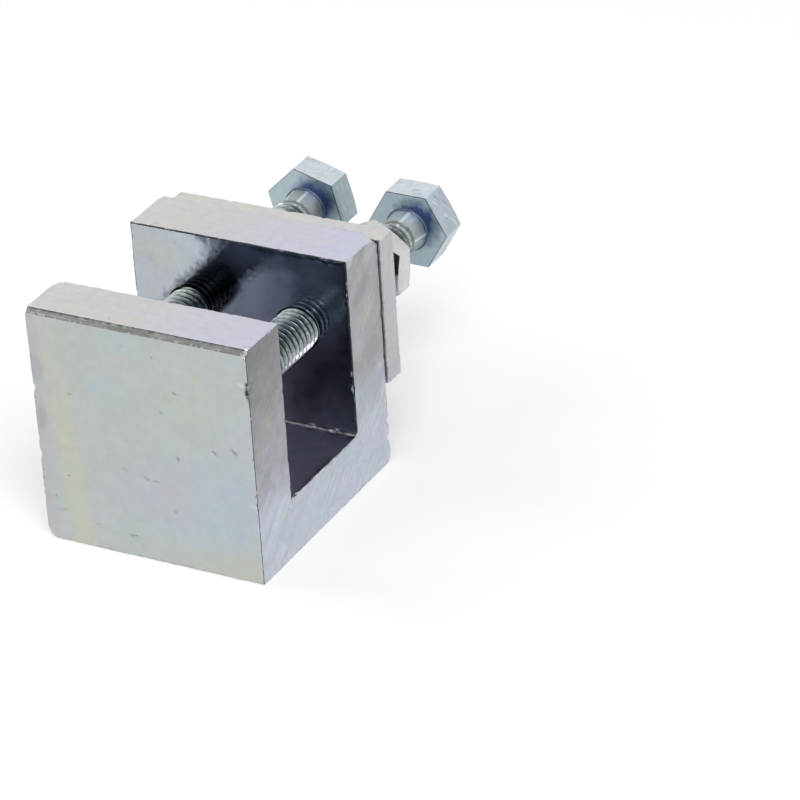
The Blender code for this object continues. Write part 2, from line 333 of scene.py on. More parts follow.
def shank_limit(y):
    """The turned outline of the shank, inside which the thread stays."""
    thread_end = SCREW_LENGTH - NECK_LENGTH
    if y < TIP_CHAMFER:
        return TIP_RADIUS + (THREAD_CREST_RADIUS - TIP_RADIUS) * y / TIP_CHAMFER
    if y > thread_end - RUNOUT_LENGTH:
        share = (thread_end - y) / RUNOUT_LENGTH
        return NECK_END_RADIUS + (THREAD_CREST_RADIUS - NECK_END_RADIUS) * max(0.0, share)
    return THREAD_CREST_RADIUS


def thread_point(angle, y):
    """A point on the threaded shank, for a right-hand thread round the Y axis."""
    place = y / THREAD_PITCH + angle / math.tau
    depth = THREAD_CREST_RADIUS - THREAD_ROOT_RADIUS
    radius = min(THREAD_ROOT_RADIUS + depth * thread_height(place), shank_limit(y))
    return (radius * math.cos(angle), y, radius * math.sin(angle))


def ring(radius, y, seams=()):
    """A closed ring of points round the Y axis, raised where forging seams run along the neck."""
    row = []
    for side in range(TURN_SIDES + 1):
        angle = math.tau * side / TURN_SIDES
        raised = radius
        for seam in seams:
            off = math.remainder(angle - seam, math.tau) / SEAM_WIDTH
            raised += SEAM_HEIGHT * math.exp(-off * off)
        row.append((raised * math.cos(angle), y, raised * math.sin(angle)))
    return row


def neck_rows(seams):
    """The conical neck and the fillet that carries it into the head."""
    rows = []
    neck_start = SCREW_LENGTH - NECK_LENGTH
    for step in range(1, NECK_ROWS + 1):
        share = step / NECK_ROWS
        rows.append(ring(NECK_END_RADIUS + (NECK_ROOT_RADIUS - NECK_END_RADIUS) * share,
                         neck_start + (NECK_LENGTH - NECK_FILLET) * share, seams if step > 1 else ()))
    for step in range(1, 5):
        turn = math.radians(20.0 * step)
        rows.append(ring(NECK_ROOT_RADIUS + NECK_FILLET * (1.0 - math.cos(turn)),
                         SCREW_LENGTH - NECK_FILLET * (1.0 - math.sin(turn)), seams))
    return rows


def shank_rows(seams):
    """Rings from the tip to inside the head. The thread's rings follow its helix, held between its ends."""
    thread_end = SCREW_LENGTH - NECK_LENGTH
    rows = [ring(0.0, 0.0), ring(TIP_RADIUS * 0.9, 0.0)]
    turns = math.ceil(thread_end / THREAD_PITCH) + 1
    for index in range(turns * THREAD_SAMPLES + 1):
        row = []
        for side in range(TURN_SIDES + 1):
            angle = math.tau * side / TURN_SIDES
            y = (index / THREAD_SAMPLES - side / TURN_SIDES) * THREAD_PITCH
            row.append(thread_point(angle, min(max(y, 0.0), thread_end)))
        rows.append(row)
    rows += neck_rows(seams)
    rows.append(ring(NECK_ROOT_RADIUS + NECK_FILLET, SCREW_LENGTH + HEAD_THICKNESS / 2))
    rows.append(ring(0.0, SCREW_LENGTH + HEAD_THICKNESS / 2))
    return rows


def skinned(rows):
    """A closed mesh through rows of points, welded where rows or seams meet."""
    shape = bmesh.new()
    grid = [[shape.verts.new(point) for point in row] for row in rows]
    for lower, upper in zip(grid, grid[1:]):
        for side in range(TURN_SIDES):
            shape.faces.new((lower[side], lower[side + 1], upper[side + 1], upper[side]))
    bmesh.ops.remove_doubles(shape, verts=shape.verts, dist=WELD_DISTANCE)
    bmesh.ops.dissolve_degenerate(shape, edges=shape.edges, dist=WELD_DISTANCE)
    return shape


def hexagon_prism(across_flats, start, end):
    """A hexagonal bar along the Y axis, with one corner on +X."""
    radius = across_flats / math.sqrt(3.0)
    angles = [index * math.tau / 6 for index in range(6)]
    return extruded([(radius * math.cos(a), start, radius * math.sin(a)) for a in angles],
                    (0.0, end - start, 0.0))


def chamfer_envelope(across_flats, length, chamfer, both_ends):
    """The turned shape that gives a hexagonal bar its length and takes the corners off its ends."""
    inner = across_flats / 2 * CHAMFER_CIRCLE_SHARE
    outer = across_flats / math.sqrt(3.0) + CUT_OVERRUN
    drop = (outer - inner) * math.tan(chamfer)
    front = [(inner, 0.0), (outer, drop)] if both_ends else [(outer, -CUT_OVERRUN)]
    start = 0.0 if both_ends else -CUT_OVERRUN
    return turned([(0.0, start), *front, (outer, length - drop), (inner, length), (0.0, length)])


def hexagon(name, across_flats, length, chamfer, both_ends):
    """A chamfered hexagon with slightly rounded edges, standing on the XZ plane."""
    start = -CUT_OVERRUN if both_ends else 0.0
    item = finish_mesh(name, hexagon_prism(across_flats, start, length + CUT_OVERRUN))
    envelope = chamfer_envelope(across_flats, length, chamfer, both_ends)
    combine(item, finish_mesh("cutter", envelope), 'INTERSECT')
    rounding = item.modifiers.new("edge", 'BEVEL')
    rounding.width = HEAD_EDGE
    rounding.segments = 2
    rounding.limit_method = 'ANGLE'
    rounding.angle_limit = HEXAGON_EDGE_ANGLE
    apply_modifiers(item)
    return item


def store(item, name, measure):
    """Keep a number for each point of a mesh, for its materials to read."""
    layer = item.data.attributes.new(name, 'FLOAT', 'POINT')
    for index, vertex in enumerate(item.data.vertices):
        layer.data[index].value = min(1.0, max(0.0, measure(vertex.co)))


def thread_crest(place):
    """How far out of the thread's root a point of a screw is."""
    if place.y > SCREW_LENGTH - NECK_LENGTH:
        return 1.0
    radius = math.hypot(place.x, place.z)
    return (radius - THREAD_ROOT_RADIUS) / (THREAD_CREST_RADIUS - THREAD_ROOT_RADIUS)


def seam_nearness(place, seams):
    """1 on a forging seam of the neck, falling to 0 beside it."""
    if not SCREW_LENGTH - NECK_LENGTH < place.y < SCREW_LENGTH:
        return 0.0
    angle = math.atan2(place.z, place.x)
    off = min(abs(math.remainder(angle - seam, math.tau)) for seam in seams)
    return math.exp(-(off / SEAM_WIDTH) ** 2)


def screw_region(face):
    """Which look a face of a screw has."""
    radius = math.hypot(face.center.x, face.center.z)
    y = face.center.y
    if y < SCREW_LENGTH - NECK_LENGTH:
        return THREAD
    if y > SCREW_LENGTH - HEAD_EDGE / 2 and face.normal.y < -0.999:
        return UNDER_HEAD
    if y < SCREW_LENGTH - HEAD_EDGE / 2 or radius < NECK_ROOT_RADIUS + NECK_FILLET:
        return NECK if y < SCREW_LENGTH + HEAD_THICKNESS / 2 else HEAD_END
    if y < SCREW_LENGTH + HEAD_EDGE:
        return HEAD_RIM
    return HEAD_END if face.normal.y > 0.3 else HEAD_FACET


def stand(item, node, side, turn):
    """Turn a screw or nut round its axis and stand it where the frame's piece stands."""
    low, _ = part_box(node)
    item.data.transform(Matrix.Rotation(-turn, 4, 'Y'))
    item.data.transform(Matrix.Translation((side * SCREW_SPACING / 2, low.y, SCREW_AXIS_HEIGHT)))


def make_screw(name, node, side, head_turn, seams):
    """A hexagon-head screw with a helical thread, where the frame's screw stands."""
    screw = finish_mesh(name, skinned(shank_rows(seams)))
    head = hexagon("head", HEAD_ACROSS_FLATS, HEAD_THICKNESS, HEAD_CHAMFER_ANGLE, both_ends=False)
    head.data.transform(Matrix.Translation((0.0, SCREW_LENGTH, 0.0)))
    combine(screw, head, 'UNION')
    store(screw, "crest", thread_crest)
    store(screw, "seam", lambda place: seam_nearness(place, seams))
    store(screw, "neck", lambda place: (place.y - SCREW_LENGTH + NECK_LENGTH) / NECK_LENGTH)
    shade_round(screw, 35.0)
    for face in screw.data.polygons:
        face.material_index = screw_region(face)
        if face.material_index == UNDER_HEAD:
            face.use_smooth = False
    stand(screw, node, side, head_turn)
    return screw


def make_nut(name, node, side, turn):
    """A thin hexagon nut round its screw, where the frame's nut stands."""
    nut = hexagon(name, NUT_ACROSS_FLATS, NUT_THICKNESS, NUT_CHAMFER_ANGLE, both_ends=True)
    cutter = finish_mesh("cutter", bore(0.0, NUT_THICKNESS, BORE_RADIUS))
    combine(nut, cutter, 'DIFFERENCE')
    for face in nut.data.polygons:
        face.material_index = 0 if abs(face.normal.y) < 0.6 else 1
    stand(nut, node, side, turn)
    return nut


class Look:
    """The nodes of a material or the world. Lengths are in millimetres."""

    def __init__(self, owner):
        owner.use_nodes = True
        self.owner = owner
        self.nodes = owner.node_tree.nodes
        self.colour = None
        self.roughness = None
        self.metallic = 1.0
        self.heights = []

    @cached_property
    def places(self):
        """The surface's coordinates."""
        return self.add("ShaderNodeTexCoord").outputs

    def put(self, socket, value):
        """Link or set a socket; a colour is given as red, green and blue."""
        if isinstance(value, bpy.types.NodeSocket):
            self.owner.node_tree.links.new(value, socket)
        else:
            socket.default_value = (*value, 1.0) if socket.type == 'RGBA' else value

    def fill(self, node, inputs):
        """Link or set a node's inputs by name or number."""
        for key, value in inputs.items():
            self.put(node.inputs[key], value)

    def add(self, kind, inputs=None, **settings):
        """Add a node with its settings and inputs."""
        made = self.nodes.new(kind)
        for key, value in settings.items():
            setattr(made, key, value)
        self.fill(made, inputs or {})
        return made

    def moved(self, centre, size, turn=(0.0, 0.0, 0.0)):
        """The surface's places from a centre, along turned axes, each measured by its own size."""
        return self.add("ShaderNodeMapping", {
            "Vector": self.places["Object"],
            "Location": [part * MM for part in centre],
            "Rotation": [math.radians(angle) for angle in turn],
            "Scale": [part * MM for part in size],
        }, vector_type='TEXTURE').outputs[0]

    def noise(self, size, shift, detail=3.0, stretch=(1.0, 1.0, 1.0), turn=(0.0, 0.0, 0.0), distortion=0.0):
        """Soft noise with features of about a size, drawn out by stretch along turned axes."""
        place = self.moved((shift, shift * 3.7, -shift * 6.1), [size * part for part in stretch], turn)
        return self.add("ShaderNodeTexNoise", {
            "Vector": place, "Scale": 1.0, "Detail": detail, "Distortion": distortion}).outputs["Fac"]

    def length(self, vector):
        return self.add("ShaderNodeVectorMath", {0: vector}, operation='LENGTH').outputs["Value"]

    def spot(self, centre, size, turn=(0.0, 0.0, 0.0)):
        """1 at a point, falling to 0 at the rim of an ellipsoid."""
        return self.between(self.length(self.moved(centre, size, turn)), 0.0, 1.0, 1.0, 0.0)

    def along(self, direction, *wobble):
        """How far a point lies along a direction from the frame's origin, wobbled if asked."""
        steps = [part / MM for part in direction]
        far = self.add("ShaderNodeVectorMath", {0: self.places["Object"], 1: steps},
                       operation='DOT_PRODUCT').outputs["Value"]
        return self.wobbled(far, *wobble) if wobble else far

    def facing(self, axis):
        """How far the surface looks along one of the object's own axes, from -1 to 1."""
        return self.add("ShaderNodeSeparateXYZ", {0: self.places["Normal"]}).outputs[axis]

    def attribute(self, name):
        return self.add("ShaderNodeAttribute", attribute_name=name).outputs["Fac"]

    def maths(self, operation, first, second):
        return self.add("ShaderNodeMath", {0: first, 1: second}, operation=operation).outputs[0]

    def times(self, first, second):
        return self.maths('MULTIPLY', first, second)

    def between(self, value, low, high, to_low=0.0, to_high=1.0):
        """A value carried from one range to another, held at its ends."""
        return self.add("ShaderNodeMapRange", {
            "Value": value, "From Min": low, "From Max": high, "To Min": to_low, "To Max": to_high,
        }).outputs["Result"]

    def within(self, value, low, high, soft):
        """1 where a value lies between two bounds, with soft borders."""
        return self.times(self.between(value, low - soft, low + soft),
                          self.between(value, high + soft, high - soft))

    def uneven(self, size, shift, low, high):
        """A value that varies softly between two ends."""
        return self.between(self.noise(size, shift, 4.0), 0.3, 0.7, low, high)

    def wobbled(self, value, size, amount, shift):
        """A value made uneven by noise, by up to about half the amount each way."""
        extra = self.between(self.noise(size, shift), 0.25, 0.75, -amount / 2, amount / 2)
        return self.maths('ADD', value, extra)

    def mix(self, share, first, second, blend='MIX'):
        """Two colours mixed by a share."""
        return self.add("ShaderNodeMix", {0: share, 6: first, 7: second},
                        data_type='RGBA', blend_type=blend).outputs[2]

    def multiplied(self, factor):
        """The colour so far, times a number or another colour."""
        return self.mix(1.0, self.colour, factor, 'MULTIPLY')

    def ramp(self, value, stops):
        """A colour for each stretch of a value, from (place, colour) stops."""
        made = self.add("ShaderNodeValToRGB", {"Fac": value})
        band = made.color_ramp
        while len(band.elements) < len(stops):
            band.elements.new(0.5)
        for element, (place, colour) in zip(band.elements, stops):
            element.position = place
            element.color = (*colour, 1.0)
        return made.outputs["Color"]

    def blotched(self, size, shift, *colours):
        """Soft blotches of two or more colours."""
        step = 0.4 / (len(colours) - 1)
        return self.ramp(self.noise(size, shift),
                         [(0.3 + step * index, colour) for index, colour in enumerate(colours)])

    def lay(self, share, colour):
        """Lay a colour over the look so far, by a share."""
        self.colour = self.mix(share, self.colour, colour)

    def paint(self, value, low, high, share, colour):
        """Lay a colour by nothing where a value is at its low end and by a share at its high end."""
        self.lay(self.between(value, low, high, 0.0, share), colour)

    def relief(self, height, depth):
        """Raise the surface a little by a height from 0 to 1."""
        self.heights.append((height, depth * MM))

    def tint(self, shift, strength):
        """The thin plating's faint rainbow: yellow, pink and blue patches."""
        hues = self.ramp(self.noise(3.4, shift, 2.0, distortion=0.6), [
            (0.30, (1.02, 1.01, 0.90)), (0.42, (1.0, 1.0, 1.0)), (0.52, (1.03, 0.96, 1.0)),
            (0.62, (0.99, 1.0, 1.02)), (0.74, (0.93, 1.0, 1.07))])
        self.lay(strength, self.multiplied(hues))

    def mottle(self, shift, depth=0.05):
        """Fine light and dark mottling of the plating."""
        self.colour = self.multiplied(self.uneven(1.1, shift, 1.0 - depth, 1.0 + depth))

    def scuff(self, shift, dark=(0.25, 0.26, 0.26)):
        """Small dark scuffs, few and short, pressed a little into the surface."""
        marks = self.noise(1.7, shift, 4.0, (1.5, 0.5, 0.6), (15.0, 35.0, 10.0))
        marks = self.between(marks, 0.69, 0.76)
        self.relief(self.times(marks, -1.0), 0.02)
        self.lay(self.times(marks, 0.55), dark)

    def brush(self, turn, size, depth, shade, shift, patch=7.0):
        """The tool's fine lines, drawn out along a turned Y axis, stronger in some patches."""
        lines = self.noise(size, shift, 3.0, (1.0, 60.0, 1.0), turn)
        patches = self.between(self.noise(patch, shift + 2.0, 2.0), 0.35, 0.65, 0.15, 1.0)
        self.relief(self.times(lines, patches), depth)
        light = self.between(lines, 0.35, 0.65, 1.0 - shade, 1.0 + shade)
        self.lay(patches, self.multiplied(light))

    def wear_rim(self, shift, dark=(0.16, 0.17, 0.17), bare=(0.72, 0.73, 0.73)):
        """Dirt and bare metal along the edges, in short broken stretches."""
        rim = self.attribute("rim")
        broken = self.noise(0.55, shift, 4.0)
        dirt = self.between(self.times(self.between(broken, 0.50, 0.66), rim), 0.45, 0.95)
        shine = self.between(self.times(self.between(broken, 0.48, 0.34), rim), 0.45, 0.95)
        self.lay(self.times(dirt, 0.75), dark)
        self.lay(self.times(shine, 0.6), bare)

    def finish(self):
        """Link the colour, the roughness and the relief, and hand over the material."""
        bumps = [self.add("ShaderNodeBump", {"Height": height, "Distance": depth, "Strength": 1.0})
                 for height, depth in self.heights]
        for below, above in zip(bumps, bumps[1:]):
            self.put(above.inputs["Normal"], below.outputs["Normal"])
        self.fill(self.nodes["Principled BSDF"], {
            "Base Color": self.colour, "Roughness": self.roughness, "Metallic": self.metallic,
            "Normal": bumps[-1].outputs["Normal"]})
        return self.owner


def metal(name, shift, grain=0.004, swell=0.02):
    """A metal with fine grain and a faint swell in its surface; their depths are in millimetres."""
    look = Look(bpy.data.materials.new(name))
    look.relief(look.noise(0.35, shift), grain)
    look.relief(look.noise(3.0, shift + 1.0, 2.0), swell)
    return look


def front_look():
    """The jaw's front: grey-green, a yellow stripe at the left, lavender and blue to the lower right."""
    look = metal("block_front", 0.0)
    look.colour = look.blotched(6.0, 2.0, (0.45, 0.49, 0.46), (0.47, 0.51, 0.49), (0.48, 0.51, 0.52))
    down_right = look.along((0.75, 0.0, -0.65), 5.0, 9.0, 4.0)
    look.paint(down_right, -12.0, 2.0, 0.75, (0.46, 0.51, 0.555))
    foot = look.along((-0.25, 0.0, 1.0), 3.0, 3.0, 6.0)
    look.paint(foot, 4.5, -1.0, 0.9, (0.49, 0.52, 0.465))
    stripe = look.within(look.along((1.0, 0.0, 0.08), 3.5, 1.4, 8.0), -11.7, -8.6, 0.6)
    fading = look.between(look.along(UP), 18.0, 28.0, 0.75, 0.35)
    look.lay(look.times(stripe, fading), (0.505, 0.53, 0.445))
    look.paint(look.along(RIGHT, 2.5, 2.0, 9.0), -13.0, -15.6, 0.8, (0.46, 0.46, 0.49))
    for x, z, wide, high, share, colour in FRONT_PATCHES:
        patch = look.spot((x, FRONT_FACE, z), (wide, 3.0, high))
        look.paint(look.wobbled(patch, 1.8, 0.35, x), 0.19, 0.55, share, colour)
    look.tint(12.0, 0.45)
    look.mottle(14.0, 0.035)
    press_dents(look)
    look.wear_rim(18.0)
    look.roughness = look.uneven(2.5, 5.0, 0.30, 0.40)
    return look


def press_dents(look):
    """Small ragged dents in the jaw's front."""
    dents = 0.0
    for x, z, long, turn in FRONT_DENTS:
        dent = look.spot((x, FRONT_FACE, z), (long, 1.0, 0.36), (0.0, turn, 0.0))
        dents = look.maths('MAXIMUM', dents, dent)
    dents = look.times(dents, look.between(look.noise(0.45, 10.0, 4.0), 0.38, 0.58, 0.1, 1.0))
    look.relief(look.times(look.between(dents, 0.1, 0.8), -1.0), 0.12)
    look.paint(dents, 0.1, 0.7, 0.4, (0.20, 0.21, 0.21))


# Soft patches of tint on the jaw's front, one of them painted shade: x, z, half width and half height,
# share, colour
FRONT_PATCHES = (
    (10.5, 10.0, 7.5, 9.5, 0.7, (0.435, 0.51, 0.56)),
    (0.0, 10.5, 8.5, 7.5, 0.5, (0.47, 0.485, 0.52)),
    (-2.3, 30.5, 5.0, 2.6, 0.6, (0.43, 0.53, 0.54)),
    (-5.2, 23.2, 4.5, 3.6, 0.6, (0.43, 0.525, 0.535)),
    (6.8, 24.0, 5.0, 6.5, 0.5, (0.485, 0.525, 0.455)),
    (-14.9, 17.5, 1.6, 2.8, 0.35, (0.30, 0.31, 0.31)),
    (-14.9, 24.5, 1.5, 3.4, 0.35, (0.33, 0.34, 0.34)),
    (14.8, 28.0, 1.3, 0.5, 0.4, (0.70, 0.73, 0.73)),
    # Painted shade in the knock at the right edge: a near-black patch.
    (15.5, 27.3, 0.6, 1.6, 0.95, (0.02, 0.02, 0.025)),
    (15.1, 11.1, 1.1, 0.45, 0.3, (0.70, 0.73, 0.74)),
)
# Small dents in the jaw's front: x, z, half length in millimetres and turn in degrees
FRONT_DENTS = (
    (-2.1, 29.9, 0.45, 15.0),
    (2.3, 29.2, 0.4, -20.0),
    (-10.3, 21.7, 0.5, 30.0),
    (2.9, 21.7, 0.4, 0.0),
    (5.1, 24.9, 0.5, 20.0),
    (4.7, 15.5, 0.7, 85.0),
    (10.1, 17.5, 1.0, 25.0),
    (12.9, 18.2, 1.1, 35.0),
    (-3.3, 12.4, 0.6, 5.0),
    (-0.2, 11.8, 0.9, 30.0),
    (1.2, 11.6, 0.9, -12.0),
    (3.8, 7.8, 0.5, 10.0),
    (-11.7, 9.7, 0.4, 0.0),
    (-13.9, 6.3, 0.35, 0.0),
    (-13.1, 4.5, 0.6, 12.0),
    (-8.1, 3.4, 1.1, 28.0),
    (-2.7, 2.9, 1.3, 5.0),
)


def top_look():
    """The sawn tops: warm grey at the left, lavender at the right, with faint rainbow tints."""
    look = metal("block_top", 20.0, 0.005)
    across = look.along((1.0, 0.1, 0.0), 6.0, 10.0, 22.0)
    look.colour = look.ramp(look.between(across, -16.0, 16.0), [
        (0.0, (0.60, 0.60, 0.60)), (0.35, (0.585, 0.58, 0.575)), (0.6, (0.575, 0.575, 0.63)),
        (1.0, (0.555, 0.575, 0.70))])
    look.tint(24.0, 0.7)
    look.mottle(26.0, 0.04)
    look.brush((0.0, 0.0, 83.0), 0.30, 0.002, 0.03, 28.0)
    look.scuff(30.0, (0.35, 0.35, 0.36))
    look.wear_rim(32.0, (0.22, 0.22, 0.23), (0.80, 0.80, 0.82))
    look.roughness = look.uneven(2.5, 34.0, 0.26, 0.36)
    return look


def side_look():
    """The sides: streaky grey with a painted dark reflection above, patches at the right, and a painted
    pale blue-grey reflection at the foot.
    """
    look = metal("block_side", 40.0)
    look.colour = look.blotched(5.0, 42.0, (0.33, 0.34, 0.34), (0.36, 0.37, 0.385), (0.38, 0.375, 0.42))
    # Painted reflection: the upper part is darker.
    jaw_top = look.along((0.0, -0.45, 0.9), 4.0, 5.0, 44.0)
    look.paint(jaw_top, 22.0, 34.0, 0.9, (0.19, 0.20, 0.205))
    # Painted reflection: pale blue-grey towards the foot.
    foot = look.blotched(6.0, 46.0, (0.47, 0.55, 0.59), (0.51, 0.56, 0.62), (0.55, 0.58, 0.66))
    look.paint(look.along((0.0, -0.05, 1.0), 3.5, 5.0, 48.0), 15.5, 8.5, 1.0, foot)
    for y, z, long, high, share, colour in SIDE_PATCHES:
        patch = look.spot((RIGHT_SIDE, y, z), (3.0, long, high), (35.0, 0.0, 0.0))
        look.paint(look.wobbled(patch, 1.5, 0.35, z), 0.19, 0.6, share, colour)
    look.tint(50.0, 0.8)
    look.mottle(52.0, 0.06)
    look.brush((42.0, 0.0, 0.0), 0.45, 0.002, 0.09, 54.0, patch=3.0)
    look.brush((8.0, 0.0, 0.0), 0.20, 0.001, 0.03, 56.0)
    look.scuff(58.0)
    look.wear_rim(60.0, (0.20, 0.21, 0.21), (0.70, 0.74, 0.76))
    look.roughness = look.uneven(2.5, 62.0, 0.26, 0.36)
    return look


# Soft patches of tint on the block's right side: y, z, half length and half height, share, colour
SIDE_PATCHES = (
    (9.6, 32.3, 1.6, 1.0, 0.6, (0.56, 0.62, 0.66)),
    (14.6, 31.4, 3.2, 1.6, 0.5, (0.46, 0.48, 0.48)),
    (12.2, 27.4, 4.2, 2.0, 0.6, (0.27, 0.265, 0.25)),
    (12.6, 23.6, 3.6, 2.2, 0.6, (0.43, 0.425, 0.36)),
    (10.4, 19.8, 2.6, 2.4, 0.55, (0.44, 0.445, 0.50)),
    (14.2, 18.0, 3.0, 2.2, 0.5, (0.30, 0.295, 0.285)),
    (-10.6, 25.4, 3.6, 1.8, 0.5, (0.26, 0.26, 0.25)),
    (-13.6, 21.0, 3.0, 2.0, 0.5, (0.38, 0.375, 0.33)),
    (-10.6, 16.4, 3.0, 1.8, 0.5, (0.42, 0.41, 0.45)),
    (-14.4, 14.0, 2.6, 1.4, 0.5, (0.29, 0.29, 0.28)),
)


def inner_wall_tone(look):
    """The wall's inner face: pale at the left, bluish at the right, with a painted dark reflection above
    the left screw and painted dark reflections at the top and low down.
    """
    look.paint(look.along((1.0, 0.0, 0.25), 4.0, 6.0, 71.0), -4.0, 12.0, 1.0, (0.45, 0.56, 0.68))
    warm = look.wobbled(look.spot((-11.5, WALL_FACE, 29.0), (4.5, 3.0, 3.6)), 1.8, 0.35, 72.0)
    look.paint(warm, 0.0, 0.7, 0.4, (0.50, 0.51, 0.43))
    # Painted reflection: a dark band above the left screw.
    over_screw = look.along((-0.70, 0.0, 0.71), 0.7, 1.2, 73.0)
    screw_reflection = look.times(look.within(over_screw, 18.9, 24.2, 0.8), look.between(look.along(UP), 21.0, 24.0))
    look.lay(look.times(screw_reflection, 0.95), (0.02, 0.026, 0.042))
    # Painted reflection: a dark patch at the top of the wall.
    top = look.wobbled(look.spot((4.0, WALL_FACE, 32.7), (8.5, 3.0, 4.2)), 2.0, 0.3, 74.0)
    look.paint(top, 0.05, 0.5, 0.6, (0.11, 0.145, 0.22))
    # Painted reflection: darker low on the wall, most at the right.
    low = look.along((0.35, 0.0, -1.0), 2.5, 2.5, 75.0)
    look.paint(low, -20.0, -15.0, 0.75, (0.12, 0.135, 0.155))


def inner_jaw_tone(look):
    """The jaw's inner face: lavender grey in the middle, with painted shade darker towards the floor."""
    height = look.along(UP, 3.0, 3.0, 77.0)
    look.paint(height, 26.0, 20.0, 1.0, (0.335, 0.35, 0.40))
    look.paint(height, 13.0, 8.5, 1.0, (0.18, 0.185, 0.215))


def slot_look(name, shift, roughness, low, high, line_turn=(0.0, 0.0, 0.0), tone=None):
    """A milled face inside the slot, smooth enough to mirror the others."""
    look = metal(name, shift, 0.0015, 0.015)
    look.colour = look.blotched(5.0, shift + 2.0, low, high)
    if tone is not None:
        tone(look)
    look.tint(shift + 3.0, 0.4)
    look.mottle(shift + 4.0, 0.04)
    look.brush(line_turn, 0.16, 0.0012, 0.05, shift + 5.0, patch=4.0)
    look.wear_rim(shift + 6.0)
    look.roughness = look.uneven(2.0, shift + 7.0, roughness - 0.03, roughness + 0.04)
    return look


def edge_look():
    """The block's rounded edges: dirt and bare bright metal in short stretches, with broken near-black
    lines along the wall's inner edges and the front right corner.
    """
    look = metal("block_edge", 100.0, 0.01)
    look.colour = look.ramp(look.noise(0.8, 102.0, 4.0), [
        (0.34, (0.10, 0.11, 0.11)), (0.48, (0.34, 0.36, 0.36)),
        (0.60, (0.50, 0.53, 0.54)), (0.74, (0.74, 0.76, 0.77))])
    floor = FLOOR_THICKNESS / MM
    wall = look.times(look.within(look.along(BACK), WALL_FACE - 0.4, WALL_FACE + 0.4, 0.05),
                      look.between(look.along(UP), floor + 0.3, floor + 0.6))
    corner = look.times(look.within(look.along(RIGHT), 15.3, 16.0, 0.05),
                        look.within(look.along(BACK), -17.2, -16.4, 0.05))
    broken = look.between(look.noise(1.2, 104.0), 0.32, 0.42, 0.35, 0.95)
    look.lay(look.times(look.maths('MAXIMUM', wall, corner), broken), (0.025, 0.03, 0.04))
    look.roughness = 0.34
    return look


def chamfer_look():
    """The jaw's front top chamfer: dull, dark rolled skin with ragged lines along it."""
    look = metal("block_chamfer", 120.0, 0.012, 0.05)
    look.colour = look.ramp(look.noise(1.0, 122.0, 5.0, (4.0, 1.0, 1.0)), [
        (0.3, (0.14, 0.15, 0.14)), (0.5, (0.20, 0.21, 0.20)), (0.7, (0.26, 0.27, 0.255))])
    look.brush((0.0, 0.0, 90.0), 0.18, 0.01, 0.22, 124.0, patch=3.0)
    height = look.along(UP, 0.9, 0.35, 126.0)
    look.paint(height, 32.40, 32.62, 0.8, (0.05, 0.06, 0.055))
    spots = look.between(look.noise(0.5, 128.0, 4.0), 0.52, 0.62)
    look.lay(look.times(look.between(height, 32.25, 32.05), spots), (0.40, 0.42, 0.41))
    look.roughness = 0.42
    return look


def hidden_look():
    """The back and the underside: plain grey-green plating."""
    look = metal("block_back", 90.0)
    look.colour = look.blotched(8.0, 91.0, (0.50, 0.52, 0.46), (0.48, 0.51, 0.49), (0.47, 0.50, 0.53))
    look.tint(92.0, 0.5)
    look.mottle(93.0)
    look.scuff(94.0)
    look.wear_rim(95.0)
    look.roughness = look.uneven(2.5, 96.0, 0.30, 0.40)
    return look


def block_looks():
    """One look for each kind of surface on the block, in the order of its regions."""
    return [
        front_look(),
        top_look(),
        side_look(),
        slot_look("block_inner_wall", 70.0, 0.14, (0.43, 0.48, 0.48), (0.43, 0.46, 0.51),
                  (0.0, -45.0, 0.0), inner_wall_tone),
        # The jaw's inner face has a dark base colour as painted shade inside the slot.
        slot_look("block_inner_jaw", 76.0, 0.16, (0.26, 0.27, 0.30), (0.28, 0.29, 0.34),
                  tone=inner_jaw_tone),
        slot_look("block_slot_floor", 82.0, 0.16, (0.80, 0.68, 0.72), (0.76, 0.68, 0.76), (0.0, 0.0, 12.0)),
        hidden_look(),
        edge_look(),
        chamfer_look(),
    ]


def block_region(face, at):
    """Which look a face of the block has, from where it is and which way it faces."""
    normal, centre = face.normal, face.center
    near_chamfer = centre.z > at.top - JAW_CHAMFER and centre.y < at.front + JAW_CHAMFER
    if near_chamfer and abs(normal.x) < 0.5 and normal.z > 0.3 and normal.y < -0.3:
        return CHAMFER
    if abs(centre.y - at.wall_inner) < BLOCK_EDGE and max(abs(part) for part in normal) < 0.99:
        return EDGE
    if abs(normal.x) > 0.9:
        return SIDE
    in_slot = at.jaw_inner - BLOCK_EDGE < centre.y < at.wall_inner + BLOCK_EDGE
    if in_slot and centre.z > at.floor / 2:
        if normal.y < -0.9:
            return INNER_WALL
        if normal.y > 0.9:
            return INNER_JAW
        if normal.z > 0.9 and centre.z < at.floor * 1.5:
            return SLOT_FLOOR
    if normal.z > 0.6 and centre.z > at.floor * 1.5:
        return TOP
    if normal.y < -0.9:
        return FRONT
    if normal.y > 0.9 or normal.z < -0.9:
        return HIDDEN
    return EDGE


def edge_distance(place, at):
    """How far a point on the block's surface lies from the nearest edge."""
    across = min(place.x - at.left, at.right - place.x)
    along = min(place.y - at.front, at.back - place.y)
    up = min(place.z, at.top - place.z)
    slack = BLOCK_EDGE
    if place.z > at.floor - slack:
        along = min(along, abs(place.y - at.jaw_inner), abs(place.y - at.wall_inner))
    if at.jaw_inner - slack < place.y < at.wall_inner + slack:
        up = min(up, abs(place.z - at.floor))
    return sorted((across, along, up))[1]


def wear(item, distance, edge, knock=None):
    """Nick a piece's edges and make its faces a little uneven, from how far a point is from an edge."""
    store(item, "rim", lambda place: 1.0 - distance(place) / RIM_WIDTH)
    normals = [vertex.normal.copy() for vertex in item.data.vertices]
    for normal, vertex in zip(normals, item.data.vertices):
        place = vertex.co.copy()
        inward = FACE_WAVE_DEPTH * noise.noise(place / FACE_WAVE_LENGTH)
        if distance(place) < edge * 1.1:
            inward += edge_wear(place)
        vertex.co -= normal * inward
        if knock is not None:
            knock(vertex, place)


